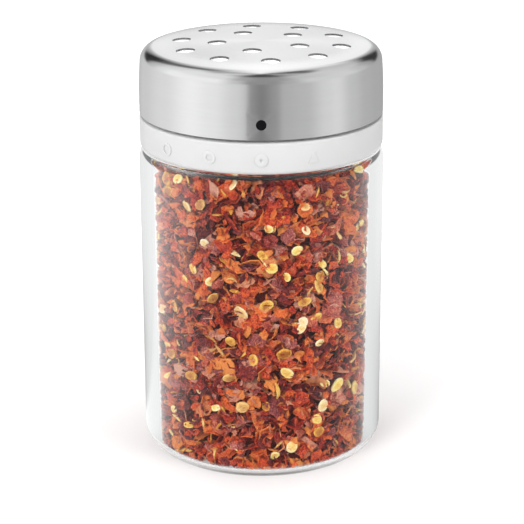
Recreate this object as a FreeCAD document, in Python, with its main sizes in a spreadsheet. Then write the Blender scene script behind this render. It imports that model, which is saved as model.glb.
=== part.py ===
import FreeCAD, Part
import math
import os

import Sketcher

# Spice shaker with a dial top. Z points up, the base ring of the jar stands on Z = 0, the axis of the
# jar is the Z axis and the pointer dot faces the front, which is -Y. Heights are measured from the
# base, and turns are degrees about Z. A turn of zero points to the front and a positive one goes
# towards +X.

# Driving lengths, in millimetres
LENGTHS = {
    # Glass jar
    "jar_radius": 28.8,
    "jar_wall": 3.4,
    "base_thickness": 1.8,
    "base_rise": 0.5,
    "foot_width": 2.4,
    "heel_round": 4.5,
    "floor_round": 1.6,
    "shoulder_height": 74.5,
    "shoulder_round": 6.4,
    "shoulder_lip_round": 0.6,
    "shoulder_wall": 1.8,
    "ledge_round": 1.4,
    "mouth_round": 1.2,
    "neck_wall": 3.0,
    "neck_length": 13.7,
    "neck_fillet": 0.8,
    "rim_round": 0.8,
    # Contents
    "fill_gap": 0.3,
    "fill_neck_rise": 1.2,
    "fill_heap": 1.6,
    # Screw collar
    "thread_height": 1.1,
    "thread_gap": 0.3,
    "collar_proud": 0.05,
    "collar_gap": 0.25,
    "skirt_height": 7.35,
    "skirt_wall": 1.5,
    "skirt_roof": 1.5,
    "collar_wall": 1.6,
    "collar_round": 0.5,
    "collar_low_round": 1.1,
    "deck_thickness": 1.5,
    "sleeve_rise": 4.3,
    "sleeve_chamfer": 0.4,
    # Silicone seal
    "seal_thickness": 1.2,
    "seal_gap": 0.1,
    "seal_lip": 0.4,
    # Sifter plate
    "plate_gap": 0.15,
    "plate_wall": 1.4,
    "plate_rise": 6.0,
    "plate_thickness": 1.6,
    "plate_chamfer": 0.4,
    "bead_rise": 1.6,
    "bead_half": 0.6,
    "bead_depth": 0.4,
    "key_width": 3.0,
    "key_depth": 0.7,
    "key_height": 3.4,
    # Steel cap
    "cap_inset": 0.3,
    "cap_skin": 0.5,
    "cap_round": 3.3,
    "dome_radius": 328.0,
    "cap_gap": 0.65,
    # Liner
    "liner_gap": 0.3,
    "liner_wall": 1.5,
    "liner_crown": 1.5,
    "liner_round": 2.0,
    "liner_inset": 0.25,
    "liner_hole_ease": 0.05,
    "dial_gap": 0.1,
    "hub_radius": 3.2,
    "hub_gap": 0.1,
    "hub_drop": 1.4,
    "pilot_roof": 0.4,
    "stop_thickness": 1.3,
    "stop_drop": 3.4,
    "stop_root": 0.2,
    "stop_clearance": 0.2,
    # Pointer dot
    "dot_radius": 1.165,
    "dot_rise": 3.5,
    "dot_proud": 0.05,
    "dot_inset": 0.3,
    # Click spring
    "spring_thickness": 0.3,
    "spring_ring_radius": 3.4,
    "spring_knee_radius": 4.9,
    "spring_radius": 6.6,
    "spring_gap": 0.3,
    "spring_web": 0.1,
    "bump_ring_radius": 5.75,
    "bump_radius": 0.6,
    "bump_gap": 0.05,
    "dimple_depth": 0.3,
    "dimple_ease": 0.2,
    # Pivot screw and washer
    "shank_radius": 1.2,
    "shank_gap": 0.1,
    "tip_gap": 0.2,
    "tip_length": 0.7,
    "tip_radius": 0.5,
    "head_radius": 2.4,
    "head_height": 1.6,
    "head_round": 0.6,
    "recess_reach": 1.3,
    "recess_half": 0.3,
    "recess_depth": 0.9,
    "washer_radius": 3.2,
    "washer_thickness": 0.4,
    # Overrun of every cut past the face it starts from
    "overrun": 1.0,
}

# Shares. In the pouring pattern, the outer ring is a share of the plate's inside, and the inner ring
# and every hole and slot are shares of the outer ring, so the pattern grows with the cap.
SHARES = {
    "outer_ring_share": 0.82,
    "inner_ring_share": 0.54,
    "hole_share": 0.1138,
    "slot_share": 0.0794,
    "slot_reach_share": 0.0423,
    "outer_small_share": 0.0476,
    "inner_large_share": 0.0926,
    "inner_small_share": 0.0476,
    # The sine of the lean at which the shoulder's wide round passes into the round of its lip
    "shoulder_lean": 0.46,
}

# Turns, in degrees. The dial clicks at each mark, and the marks lie one mark_step apart.
TURNS = {
    "outer_hole_turn": 6.6,
    "inner_hole_turn": -11.4,
    "mark_step": 24.0,
    "dial_low": -48.0,
    "dial_high": 24.0,
    "stop_width": 6.0,
    "stop_slack": 1.0,
    "spring_window": 70.0,
    "back": 180.0,
    "quarter": 90.0,
    "full": 360.0,
}

COUNTS = {
    "outer_holes": 10,
    "inner_holes": 5,
    "keys": 3,
    "spring_arms": 3,
    "dimples": 15,
}

# Places and sizes that follow from the values above
DERIVED = {
    "cap_radius": "jar_radius - cap_inset",
    "shell_bore": "cap_radius - cap_skin",
    "liner_bore": "shell_bore - liner_wall",
    "sleeve_radius": "liner_bore - liner_gap",
    "collar_bore": "sleeve_radius - collar_wall",
    "neck_radius": "collar_bore - thread_gap - thread_height",
    "collar_radius": "cap_radius + collar_proud",
    "jar_bore": "jar_radius - jar_wall",
    "floor_height": "base_thickness",
    "foot_outer": "jar_radius - heel_round",
    "foot_inner": "foot_outer - foot_width",
    "rise_radius": "(foot_inner ^ 2 + base_rise ^ 2) / (2 * base_rise)",
    "shoulder_lip": "shoulder_height - shoulder_lip_round * (1 - shoulder_lean)",
    "shoulder_low": "shoulder_lip - shoulder_round * shoulder_lean",
    "shoulder_cosine": "sqrt(1 - shoulder_lean ^ 2)",
    "shoulder_reach": "jar_radius - shoulder_round * (1 - shoulder_cosine)",
    "shoulder_edge": "shoulder_reach - shoulder_lip_round * shoulder_cosine",
    "neck_foot": "neck_radius + neck_fillet",
    "neck_low": "shoulder_height + neck_fillet",
    "neck_bore": "neck_radius - neck_wall",
    "rim_height": "shoulder_height + neck_length",
    "rim_low": "rim_height - rim_round",
    "rim_outer": "neck_radius - rim_round",
    "rim_inner": "neck_bore + rim_round",
    "ledge_height": "shoulder_height - shoulder_wall",
    "mouth_low": "ledge_height + mouth_round",
    "mouth_edge": "neck_bore + mouth_round",
    "ledge_edge": "jar_bore - ledge_round",
    "ledge_low": "ledge_height - ledge_round",
    "floor_high": "floor_height + floor_round",
    "floor_edge": "jar_bore - floor_round",
    "fill_floor": "floor_height + fill_gap",
    "fill_floor_round": "floor_round - fill_gap",
    "fill_radius": "jar_bore - fill_gap",
    "fill_ledge_round": "ledge_round - fill_gap",
    "fill_ledge": "ledge_height - fill_gap",
    "fill_mouth_round": "mouth_round + fill_gap",
    "fill_neck": "neck_bore - fill_gap",
    "fill_height": "mouth_low + fill_neck_rise",
    "fill_top": "fill_height + fill_heap",
    "heap_radius": "(fill_neck ^ 2 + fill_heap ^ 2) / (2 * fill_heap)",
    "collar_low": "shoulder_height + collar_gap",
    "collar_low_edge": "collar_low + collar_low_round",
    "collar_low_reach": "collar_radius - collar_low_round",
    "collar_edge": "collar_radius - collar_round",
    "step_height": "collar_low + skirt_height",
    "step_edge": "step_height - collar_round",
    "sleeve_lip": "sleeve_radius - sleeve_chamfer",
    "skirt_bore": "collar_radius - skirt_wall",
    "relief_high": "step_height - skirt_roof",
    "seal_high": "rim_height + seal_thickness",
    "seal_bore": "neck_bore + seal_lip",
    "seal_radius": "collar_bore - seal_gap",
    "deck_high": "seal_high + deck_thickness",
    "sleeve_high": "deck_high + sleeve_rise",
    "sleeve_shoulder": "sleeve_high - sleeve_chamfer",
    "plate_radius": "collar_bore - plate_gap",
    "plate_edge": "plate_radius - plate_chamfer",
    "plate_inner": "plate_radius - plate_wall",
    "plate_high": "deck_high + plate_rise",
    "plate_shoulder": "plate_high - plate_chamfer",
    "plate_low": "plate_high - plate_thickness",
    "bead_mid": "deck_high + bead_rise",
    "bead_low": "bead_mid - bead_half",
    "bead_high": "bead_mid + bead_half",
    "bead_radius": "plate_radius + bead_depth",
    "groove_low": "bead_low - plate_gap",
    "groove_high": "bead_high + plate_gap",
    "groove_radius": "collar_bore + bead_depth",
    "key_half": "key_width / 2",
    "key_radius": "plate_radius + key_depth",
    "key_root": "plate_radius - plate_wall / 2",
    "key_slot_half": "key_half + plate_gap",
    "key_slot_radius": "key_radius + plate_gap",
    "key_slot_depth": "sleeve_high - deck_high",
    "hub_hole": "hub_radius + hub_gap",
    "hub_low": "plate_low - hub_drop",
    "outer_ring_radius": "plate_inner * outer_ring_share",
    "inner_ring_radius": "outer_ring_radius * inner_ring_share",
    "hole_radius": "outer_ring_radius * hole_share",
    "slot_radius": "outer_ring_radius * slot_share",
    "slot_inner": "outer_ring_radius * (1 - slot_reach_share)",
    "slot_outer": "outer_ring_radius * (1 + slot_reach_share)",
    "outer_small_radius": "outer_ring_radius * outer_small_share",
    "inner_large_radius": "outer_ring_radius * inner_large_share",
    "inner_small_radius": "outer_ring_radius * inner_small_share",
    "liner_low": "plate_high + dial_gap",
    "dome_low": "liner_low + liner_crown",
    "cap_top": "dome_low + cap_skin",
    "cap_low": "step_height + cap_gap",
    "round_middle": "cap_radius - cap_round",
    "dome_reach": "dome_radius - cap_round",
    "dome_middle": "cap_top - dome_radius",
    "round_height": "dome_middle + sqrt(dome_reach ^ 2 - round_middle ^ 2)",
    "dome_edge": "round_middle * dome_radius / dome_reach",
    "dome_edge_height": "dome_middle + (round_height - dome_middle) * dome_radius / dome_reach",
    "dome_radius_in": "dome_radius - cap_skin",
    "cap_round_in": "cap_round - cap_skin",
    "dome_edge_in": "round_middle * dome_radius_in / dome_reach",
    "dome_edge_height_in": "dome_middle + (round_height - dome_middle) * dome_radius_in / dome_reach",
    "liner_edge": "liner_bore - liner_round",
    "liner_shoulder": "liner_low - liner_round",
    "liner_foot": "cap_low + liner_inset",
    "liner_hole_radius": "hole_radius + liner_hole_ease",
    "pilot_high": "dome_low - pilot_roof",
    "stop_outer": "sleeve_radius - stop_clearance",
    "stop_inner": "stop_outer - stop_thickness",
    "stop_low": "liner_low - stop_drop",
    "stop_high": "liner_low + stop_root",
    "window_low": "stop_low - stop_clearance",
    "window_high": "sleeve_high + overrun",
    "window_inner": "plate_radius",
    "window_outer": "sleeve_radius + overrun",
    "cut_high": "cap_top + overrun",
    "dot_height": "cap_low + dot_rise",
    "dot_start": "liner_bore + dot_inset",
    "dot_length": "cap_radius + dot_proud - dot_start",
    "dot_cut": "cap_radius + overrun",
    "ring_low": "hub_low - spring_thickness",
    "pad_high": "plate_low - spring_gap",
    "pad_low": "pad_high - spring_thickness",
    "screw_hole": "shank_radius + shank_gap",
    "spring_cut_inner": "spring_ring_radius + spring_web",
    "spring_cut_outer": "spring_radius + overrun",
    "spring_cut_low": "ring_low - overrun",
    "spring_cut_high": "pad_high + overrun",
    "bump_height": "spring_gap - bump_gap",
    "dimple_radius": "bump_radius + dimple_ease",
    "washer_low": "ring_low - washer_thickness",
    "head_low": "washer_low - head_height",
    "head_edge": "head_radius - head_round",
    "head_edge_high": "head_low + head_round",
    "tip_high": "pilot_high - tip_gap",
    "tip_low": "tip_high - tip_length",
    "outer_small_turn": "outer_hole_turn - mark_step",
    "outer_large_turn": "outer_hole_turn - 2 * mark_step",
    "inner_small_turn": "inner_hole_turn - mark_step",
    "inner_large_turn": "inner_hole_turn - 2 * mark_step",
    "stop_turn": "back - (dial_low + dial_high) / 2",
    "window_width": "dial_high - dial_low + stop_width + 2 * stop_slack",
    "spring_window_turn": "full / spring_arms / 2",
}

doc = FreeCAD.newDocument("SpiceShaker")
sheet = doc.addObject("Spreadsheet::Sheet", "Sizes")


def fill_sheet():
    """Write every size to the sheet, its name beside it and as its alias."""
    rows = []
    for table in (LENGTHS, SHARES, TURNS, COUNTS):
        rows += [(name, str(number)) for name, number in table.items()]
    rows += [(name, "=" + formula) for name, formula in DERIVED.items()]
    for row, (name, text) in enumerate(rows, start=1):
        sheet.set(f"A{row}", name)
        sheet.set(f"B{row}", text)
        sheet.setAlias(f"B{row}", name)
    doc.recompute()


def size(name):
    """The value of a size. A leading minus turns its sign."""
    if name == "0":
        return 0.0
    if name.startswith("-"):
        return -float(sheet.get(name[1:]))
    return float(sheet.get(name))


def bound(name):
    """The expression that reads a size from the sheet."""
    if name.startswith("-"):
        return "-Sizes." + name[1:]
    return "Sizes." + name


def origin_part(body, role):
    return next(part for part in body.Origin.OriginFeatures if part.Role == role)


def add_body(label):
    body = doc.addObject("PartDesign::Body", label)
    body.Label = label
    return body


def add_sketch(body, name, plane="XZ_Plane", lift="0", turn="0"):
    """A sketch on the body's XZ plane, for a profile, or on its XY plane at a height. turn is where
    its X axis points, from the front. An upright profile that goes all the way round needs none."""
    sketch = body.newObject("Sketcher::SketchObject", name)
    sketch.AttachmentSupport = (origin_part(body, plane), [""])
    sketch.MapMode = "FlatFace"
    if plane == "XY_Plane" or turn != "0":
        upright = plane == "XZ_Plane"
        axis = FreeCAD.Vector(0, 1, 0) if upright else FreeCAD.Vector(0, 0, 1)
        angle = size(turn) - size("quarter")
        base = FreeCAD.Vector(0, 0, size(lift))
        sketch.AttachmentOffset = FreeCAD.Placement(base, FreeCAD.Rotation(axis, angle))
        sketch.setExpression(".AttachmentOffset.Base.z", None if lift == "0" else bound(lift))
        heading = bound("-quarter") if turn == "0" else bound(turn) + bound("-quarter")
        sketch.setExpression(".AttachmentOffset.Rotation.Angle", heading)
    return sketch


def bind(sketch, index, name):
    sketch.setExpression(f"Constraints[{index}]", bound(name))


def hold(sketch, edge, end, across, along):
    """Tie one end of an edge to its place. Zero ties it to the sketch's own axis."""
    for name, kind, axis in ((across, "DistanceX", -2), (along, "DistanceY", -1)):
        if name == "0":
            sketch.addConstraint(Sketcher.Constraint("PointOnObject", edge, end, axis))
        else:
            index = sketch.addConstraint(Sketcher.Constraint(kind, edge, end, size(name)))
            bind(sketch, index, name)


def arc_between(start, end, radius, left):
    """The short arc from start to end. It turns left or right on the way."""
    chord = end - start
    rise = math.sqrt(max(radius ** 2 - (chord.Length / 2) ** 2, 0.0))
    across = FreeCAD.Vector(-chord.y, chord.x, 0).normalize()
    centre = (start + end) / 2 + across * (rise if left else -rise)
    first, last = (start, end) if left else (end, start)
    angles = [math.atan2(point.y - centre.y, point.x - centre.x) for point in (first, last)]
    if angles[1] < angles[0]:
        angles[1] += 2 * math.pi
    circle = Part.Circle(centre, FreeCAD.Vector(0, 0, 1), radius)
    return Part.ArcOfCircle(circle, *angles)


def add_outline(sketch, steps):
    """A closed outline. Each step is a corner, as the names of its two sizes, and the edge that
    leaves it: a straight line, or ("left" or "right", radius name) for an arc."""
    corners = [FreeCAD.Vector(size(step[0]), size(step[1]), 0) for step in steps]
    ends = []
    for here, step in enumerate(steps):
        start = corners[here]
        end = corners[(here + 1) % len(corners)]
        if len(step) == 2:
            edge = sketch.addGeometry(Part.LineSegment(start, end), False)
            ends.append((edge, 1, 2))
            continue
        left = step[2] == "left"
        edge = sketch.addGeometry(arc_between(start, end, size(step[3]), left), False)
        ends.append((edge, 1, 2) if left else (edge, 2, 1))
    for here, step in enumerate(steps):
        edge, start, end = ends[here]
        following, next_start, _ = ends[(here + 1) % len(ends)]
        sketch.addConstraint(Sketcher.Constraint("Coincident", edge, end, following, next_start))
        hold(sketch, edge, start, step[0], step[1])
        if len(step) == 4:
            index = sketch.addConstraint(Sketcher.Constraint("Radius", edge, size(step[3])))
            bind(sketch, index, step[3])


def add_box(sketch, low_x, high_x, low_y, high_y):
    add_outline(sketch, [(low_x, low_y), (high_x, low_y), (high_x, high_y), (low_x, high_y)])


def add_circle(sketch, radius, across="0", along="0"):
    centre = FreeCAD.Vector(size(across), size(along), 0)
    edge = sketch.addGeometry(Part.Circle(centre, FreeCAD.Vector(0, 0, 1), size(radius)), False)
    hold(sketch, edge, 3, across, along)
    bind(sketch, sketch.addConstraint(Sketcher.Constraint("Radius", edge, size(radius))), radius)


def add_slot(sketch, low_x, high_x, radius):
    """A slot with round ends, along the sketch's X axis."""
    low, high, half = size(low_x), size(high_x), size(radius)
    up = FreeCAD.Vector(0, 0, 1)
    quarter = math.pi / 2
    far = Part.Circle(FreeCAD.Vector(high, 0, 0), up, half)
    near = Part.Circle(FreeCAD.Vector(low, 0, 0), up, half)
    above = Part.LineSegment(FreeCAD.Vector(high, half, 0), FreeCAD.Vector(low, half, 0))
    below = Part.LineSegment(FreeCAD.Vector(low, -half, 0), FreeCAD.Vector(high, -half, 0))
    right = sketch.addGeometry(Part.ArcOfCircle(far, -quarter, quarter), False)
    top = sketch.addGeometry(above, False)
    left = sketch.addGeometry(Part.ArcOfCircle(near, quarter, 3 * quarter), False)
    bottom = sketch.addGeometry(below, False)
    for edge, following in ((right, top), (top, left), (left, bottom), (bottom, right)):
        sketch.addConstraint(Sketcher.Constraint("Tangent", edge, 2, following, 1))
    hold(sketch, right, 3, high_x, "0")
    hold(sketch, left, 3, low_x, "0")
    bind(sketch, sketch.addConstraint(Sketcher.Constraint("Radius", right, half)), radius)


def add_feature(body, kind, name, sketch, amount=None, reverse=False, middle=False):
    """A pad, pocket, revolution or groove of a sketch. amount names its length or its angle, and
    without one a pocket goes through everything and a turned form goes all the way round."""
    before = body.Shape.Volume if body.Shape.Solids else 0.0
    feature = body.newObject("PartDesign::" + kind, name)
    feature.Profile = sketch
    feature.Reversed = reverse
    feature.Midplane = middle
    turned = kind in ("Revolution", "Groove")
    if turned:
        feature.ReferenceAxis = (sketch, ["V_Axis"])
        feature.Angle = size(amount or "full")
        feature.setExpression("Angle", bound(amount or "full"))
    elif amount:
        feature.Length = size(amount)
        feature.setExpression("Length", bound(amount))
    else:
        feature.Type = "ThroughAll"
    sketch.Visibility = False
    doc.recompute()
    change = body.Shape.Volume - before
    grows = kind in ("Pad", "Revolution")
    if (change <= 0) if grows else (change >= 0):
        raise RuntimeError(f"{body.Label}: {name} changed the volume by {change}")
    return feature


def add_pattern(body, name, feature, count):
    """Copies of a feature, evenly round the body's Z axis."""
    pattern = body.newObject("PartDesign::PolarPattern", name)
    pattern.Originals = [feature]
    pattern.Axis = (origin_part(body, "Z_Axis"), [""])
    pattern.Angle = size("full")
    pattern.Occurrences = int(size(count))
    pattern.setExpression("Occurrences", bound(count))
    body.Tip = pattern
    doc.recompute()
    return pattern


def turned_body(label, steps):
    """A body of revolution about Z from one upright outline."""
    body = add_body(label)
    sketch = add_sketch(body, label + "_profile")
    add_outline(sketch, steps)
    add_feature(body, "Revolution", label + "_turned", sketch)
    return body


def cut_holes(body, name, ring, turn, radius, count, lift):
    """A ring of round holes, cut down through the body from a height."""
    sketch = add_sketch(body, name + "_circle", "XY_Plane", lift, turn)
    add_circle(sketch, radius, ring)
    hole = add_feature(body, "Pocket", name + "_hole", sketch)
    add_pattern(body, name + "_ring", hole, count)


def make_glass_jar():
    """Jar with a low push-up in its base, an even wall, a shoulder and a neck for the collar."""
    return turned_body(
        "glass_jar",
        [
            ("0", "base_rise", "right", "rise_radius"),
            ("foot_inner", "0"),
            ("foot_outer", "0", "left", "heel_round"),
            ("jar_radius", "heel_round"),
            ("jar_radius", "shoulder_low", "left", "shoulder_round"),
            ("shoulder_reach", "shoulder_lip", "left", "shoulder_lip_round"),
            ("shoulder_edge", "shoulder_height"),
            ("neck_foot", "shoulder_height", "right", "neck_fillet"),
            ("neck_radius", "neck_low"),
            ("neck_radius", "rim_low", "left", "rim_round"),
            ("rim_outer", "rim_height"),
            ("rim_inner", "rim_height", "left", "rim_round"),
            ("neck_bore", "rim_low"),
            ("neck_bore", "mouth_low", "left", "mouth_round"),
            ("mouth_edge", "ledge_height"),
            ("ledge_edge", "ledge_height", "right", "ledge_round"),
            ("jar_bore", "ledge_low"),
            ("jar_bore", "floor_high", "right", "floor_round"),
            ("floor_edge", "floor_height"),
            ("0", "floor_height"),
        ],
    )


def make_spice_fill():
    """The loose flakes as one mass, up into the neck and heaped a little in the middle."""
    return turned_body(
        "spice_fill",
        [
            ("0", "fill_floor"),
            ("floor_edge", "fill_floor", "left", "fill_floor_round"),
            ("fill_radius", "floor_high"),
            ("fill_radius", "ledge_low", "left", "fill_ledge_round"),
            ("ledge_edge", "fill_ledge"),
            ("mouth_edge", "fill_ledge", "right", "fill_mouth_round"),
            ("fill_neck", "mouth_low"),
            ("fill_neck", "fill_height", "left", "heap_radius"),
            ("0", "fill_top"),
        ],
    )


def make_jar_seal():
    """Flat ring on the jar's rim, under the collar's deck."""
    body = add_body("jar_seal")
    sketch = add_sketch(body, "jar_seal_profile")
    add_box(sketch, "seal_bore", "seal_radius", "rim_height", "seal_high")
    add_feature(body, "Revolution", "jar_seal_turned", sketch)
    return body


def make_screw_collar():
    """Collar: a smooth skirt that shows, a sleeve up inside the cap and a deck that carries the
    seal and the sifter plate. The skirt is cored from below."""
    body = turned_body(
        "screw_collar",
        [
            ("collar_bore", "collar_low"),
            ("sleeve_radius", "collar_low"),
            ("sleeve_radius", "relief_high"),
            ("skirt_bore", "relief_high"),
            ("skirt_bore", "collar_low"),
            ("collar_low_reach", "collar_low", "left", "collar_low_round"),
            ("collar_radius", "collar_low_edge"),
            ("collar_radius", "step_edge", "left", "collar_round"),
            ("collar_edge", "step_height"),
            ("sleeve_radius", "step_height"),
            ("sleeve_radius", "sleeve_shoulder"),
            ("sleeve_lip", "sleeve_high"),
            ("collar_bore", "sleeve_high"),
            ("collar_bore", "groove_high"),
            ("groove_radius", "bead_mid"),
            ("collar_bore", "groove_low"),
            ("collar_bore", "deck_high"),
            ("seal_bore", "deck_high"),
            ("seal_bore", "seal_high"),
            ("collar_bore", "seal_high"),
        ],
    )
    # Slots that the plate's keys drop into
    sketch = add_sketch(body, "key_slot_outline", "XY_Plane", "sleeve_high")
    add_box(sketch, "plate_inner", "key_slot_radius", "-key_slot_half", "key_slot_half")
    slot = add_feature(body, "Pocket", "key_slot", sketch, "key_slot_depth")
    add_pattern(body, "key_slots", slot, "keys")
    # Window in the sleeve's top that limits the dial's turn
    sketch = add_sketch(body, "stop_window_outline", "XZ_Plane", turn="back")
    add_box(sketch, "window_inner", "window_outer", "window_low", "window_high")
    add_feature(body, "Groove", "stop_window", sketch, "window_width", middle=True)
    return body


def make_sifter_plate():
    """Hat-shaped plate. Blank places close the cap's holes, and the small holes and the large
    holes and slots come under them at the other marks."""
    body = turned_body(
        "sifter_plate",
        [
            ("hub_hole", "plate_low"),
            ("plate_inner", "plate_low"),
            ("plate_inner", "deck_high"),
            ("plate_radius", "deck_high"),
            ("plate_radius", "bead_low"),
            ("bead_radius", "bead_mid"),
            ("plate_radius", "bead_high"),
            ("plate_radius", "plate_shoulder"),
            ("plate_edge", "plate_high"),
            ("hub_hole", "plate_high"),
        ],
    )
    sketch = add_sketch(body, "key_outline", "XY_Plane", "deck_high")
    add_box(sketch, "key_root", "key_radius", "-key_half", "key_half")
    key = add_feature(body, "Pad", "key", sketch, "key_height")
    add_pattern(body, "keys", key, "keys")
    sketch = add_sketch(body, "outer_large_outline", "XY_Plane", "plate_high", "outer_large_turn")
    add_slot(sketch, "slot_inner", "slot_outer", "slot_radius")
    slot = add_feature(body, "Pocket", "outer_large_slot", sketch)
    add_pattern(body, "outer_large_ring", slot, "outer_holes")
    for name, ring, turn, radius, count in (
        ("outer_small", "outer_ring_radius", "outer_small_turn", "outer_small_radius", "outer_holes"),
        ("inner_large", "inner_ring_radius", "inner_large_turn", "inner_large_radius", "inner_holes"),
        ("inner_small", "inner_ring_radius", "inner_small_turn", "inner_small_radius", "inner_holes"),
    ):
        cut_holes(body, name, ring, turn, radius, count, "plate_high")
    # Dimples under the plate, one for each click of the spring
    sketch = add_sketch(body, "dimple_circle", "XY_Plane", "plate_low")
    add_circle(sketch, "dimple_radius", "bump_ring_radius")
    dimple = add_feature(body, "Pocket", "dimple", sketch, "dimple_depth", reverse=True)
    add_pattern(body, "dimples", dimple, "dimples")
    return body


def cut_cap_holes(body, radius):
    """The pouring holes, alike in the steel and in the liner under it."""
    for name, ring, turn, count in (
        ("outer", "outer_ring_radius", "outer_hole_turn", "outer_holes"),
        ("inner", "inner_ring_radius", "inner_hole_turn", "inner_holes"),
    ):
        cut_holes(body, name, ring, turn, radius, count, "cut_high")


def cut_dot_hole(body):
    sketch = add_sketch(body, "dot_circle", "XZ_Plane")
    add_circle(sketch, "dot_radius", "0", "dot_height")
    add_feature(body, "Pocket", "dot_hole", sketch, "dot_cut", reverse=True)


def make_cap_shell():
    """Drawn steel cap: straight wall, rounded edge and a low dome, all of one thickness."""
    body = turned_body(
        "cap_shell",
        [
            ("shell_bore", "cap_low"),
            ("cap_radius", "cap_low"),
            ("cap_radius", "round_height", "left", "cap_round"),
            ("dome_edge", "dome_edge_height", "left", "dome_radius"),
            ("0", "cap_top"),
            ("0", "dome_low", "right", "dome_radius_in"),
            ("dome_edge_in", "dome_edge_height_in", "right", "cap_round_in"),
            ("shell_bore", "round_height"),
        ],
    )
    cut_cap_holes(body, "hole_radius")
    cut_dot_hole(body)
    return body


def make_cap_liner():
    """White moulding that fills the steel cap, with the hub that the dial turns on and the stop
    that runs in the collar's window."""
    body = turned_body(
        "cap_liner",
        [
            ("shank_radius", "hub_low"),
            ("hub_radius", "hub_low"),
            ("hub_radius", "liner_low"),
            ("liner_edge", "liner_low", "right", "liner_round"),
            ("liner_bore", "liner_shoulder"),
            ("liner_bore", "liner_foot"),
            ("shell_bore", "liner_foot"),
            ("shell_bore", "round_height", "left", "cap_round_in"),
            ("dome_edge_in", "dome_edge_height_in", "left", "dome_radius_in"),
            ("0", "dome_low"),
            ("0", "pilot_high"),
            ("shank_radius", "pilot_high"),
        ],
    )
    sketch = add_sketch(body, "stop_outline", "XZ_Plane", turn="stop_turn")
    add_box(sketch, "stop_inner", "stop_outer", "stop_low", "stop_high")
    add_feature(body, "Revolution", "stop", sketch, "stop_width", middle=True)
    cut_cap_holes(body, "liner_hole_radius")
    cut_dot_hole(body)
    return body


def make_pointer_dot():
    """Plug through the steel and into the liner, a hair proud of the cap's wall."""
    body = add_body("pointer_dot")
    sketch = add_sketch(body, "pointer_dot_circle", "XZ_Plane")
    sketch.AttachmentOffset = FreeCAD.Placement(
        FreeCAD.Vector(0, 0, size("dot_start")), FreeCAD.Rotation()
    )
    sketch.setExpression(".AttachmentOffset.Base.z", bound("dot_start"))
    add_circle(sketch, "dot_radius", "0", "dot_height")
    add_feature(body, "Pad", "pointer_dot_pad", sketch, "dot_length")
    return body


def make_click_spring():
    """Leaf spring: a ring clamped under the hub and dished arms up to the plate's dimples."""
    body = turned_body(
        "click_spring",
        [
            ("screw_hole", "ring_low"),
            ("spring_ring_radius", "ring_low"),
            ("spring_knee_radius", "pad_low"),
            ("spring_radius", "pad_low"),
            ("spring_radius", "pad_high"),
            ("spring_knee_radius", "pad_high"),
            ("spring_ring_radius", "hub_low"),
            ("screw_hole", "hub_low"),
        ],
    )
    sketch = add_sketch(body, "arm_gap_outline", "XZ_Plane", turn="spring_window_turn")
    add_box(sketch, "spring_cut_inner", "spring_cut_outer", "spring_cut_low", "spring_cut_high")
    gap = add_feature(body, "Groove", "arm_gap", sketch, "spring_window", middle=True)
    add_pattern(body, "arm_gaps", gap, "spring_arms")
    sketch = add_sketch(body, "bump_circle", "XY_Plane", "pad_high")
    add_circle(sketch, "bump_radius", "bump_ring_radius")
    bump = add_feature(body, "Pad", "bump", sketch, "bump_height")
    add_pattern(body, "bumps", bump, "spring_arms")
    return body


def make_pivot_washer():
    """Plain washer, a disc less its hole."""
    disc = doc.addObject("Part::Cylinder", "washer_disc")
    hole = doc.addObject("Part::Cylinder", "washer_hole")
    for solid, radius in ((disc, "washer_radius"), (hole, "screw_hole")):
        solid.setExpression("Radius", bound(radius))
        solid.setExpression("Height", bound("washer_thickness"))
        solid.setExpression(".Placement.Base.z", bound("washer_low"))
    washer = doc.addObject("Part::Cut", "pivot_washer")
    washer.Base = disc
    washer.Tool = hole
    washer.Label = "pivot_washer"
    doc.recompute()
    return washer


def make_pivot_screw():
    """Pan-head screw up into the hub, with a cross recess in its head."""
    body = turned_body(
        "pivot_screw",
        [
            ("0", "head_low"),
            ("head_edge", "head_low", "left", "head_round"),
            ("head_radius", "head_edge_high"),
            ("head_radius", "washer_low"),
            ("shank_radius", "washer_low"),
            ("shank_radius", "tip_low"),
            ("tip_radius", "tip_high"),
            ("0", "tip_high"),
        ],
    )
    sketch = add_sketch(body, "recess_outline", "XY_Plane", "head_low")
    reach, half = "recess_reach", "recess_half"
    cross = [(reach, "-" + half), (reach, half), (half, half), (half, reach)]
    cross += [("-" + half, reach), ("-" + half, half), ("-" + reach, half), ("-" + reach, "-" + half)]
    cross += [("-" + half, "-" + half), ("-" + half, "-" + reach), (half, "-" + reach)]
    cross += [(half, "-" + half)]
    add_outline(sketch, cross)
    add_feature(body, "Pocket", "recess", sketch, "recess_depth", reverse=True)
    return body


def check(parts):
    """Stop if any object of the document failed, or a sub-part is not one valid solid."""
    doc.recompute()
    for thing in doc.Objects:
        if "Invalid" in thing.State or "Error" in thing.State:
            raise RuntimeError(f"{thing.Label} failed: {thing.State}")
    for part in parts:
        shape = part.Shape
        if shape.isNull() or not shape.isValid() or len(shape.Solids) != 1:
            raise RuntimeError(f"{part.Label} is not one valid solid")
        box = shape.BoundBox
        print(f"{part.Label}: {shape.Volume:.1f} mm3, Z {box.ZMin:.2f} to {box.ZMax:.2f}")


def main():
    fill_sheet()
    parts = [
        make_glass_jar(),
        make_spice_fill(),
        make_jar_seal(),
        make_screw_collar(),
        make_sifter_plate(),
        make_cap_shell(),
        make_cap_liner(),
        make_pointer_dot(),
        make_click_spring(),
        make_pivot_washer(),
        make_pivot_screw(),
    ]
    check(parts)
    os.makedirs("parts", exist_ok=True)
    for part in parts:
        part.Shape.exportStep(f"parts/{part.Label}.step")


main()
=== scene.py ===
import math
import random

import bmesh
import bpy
import numpy as np
from mathutils import Euler, Matrix, Vector


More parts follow.
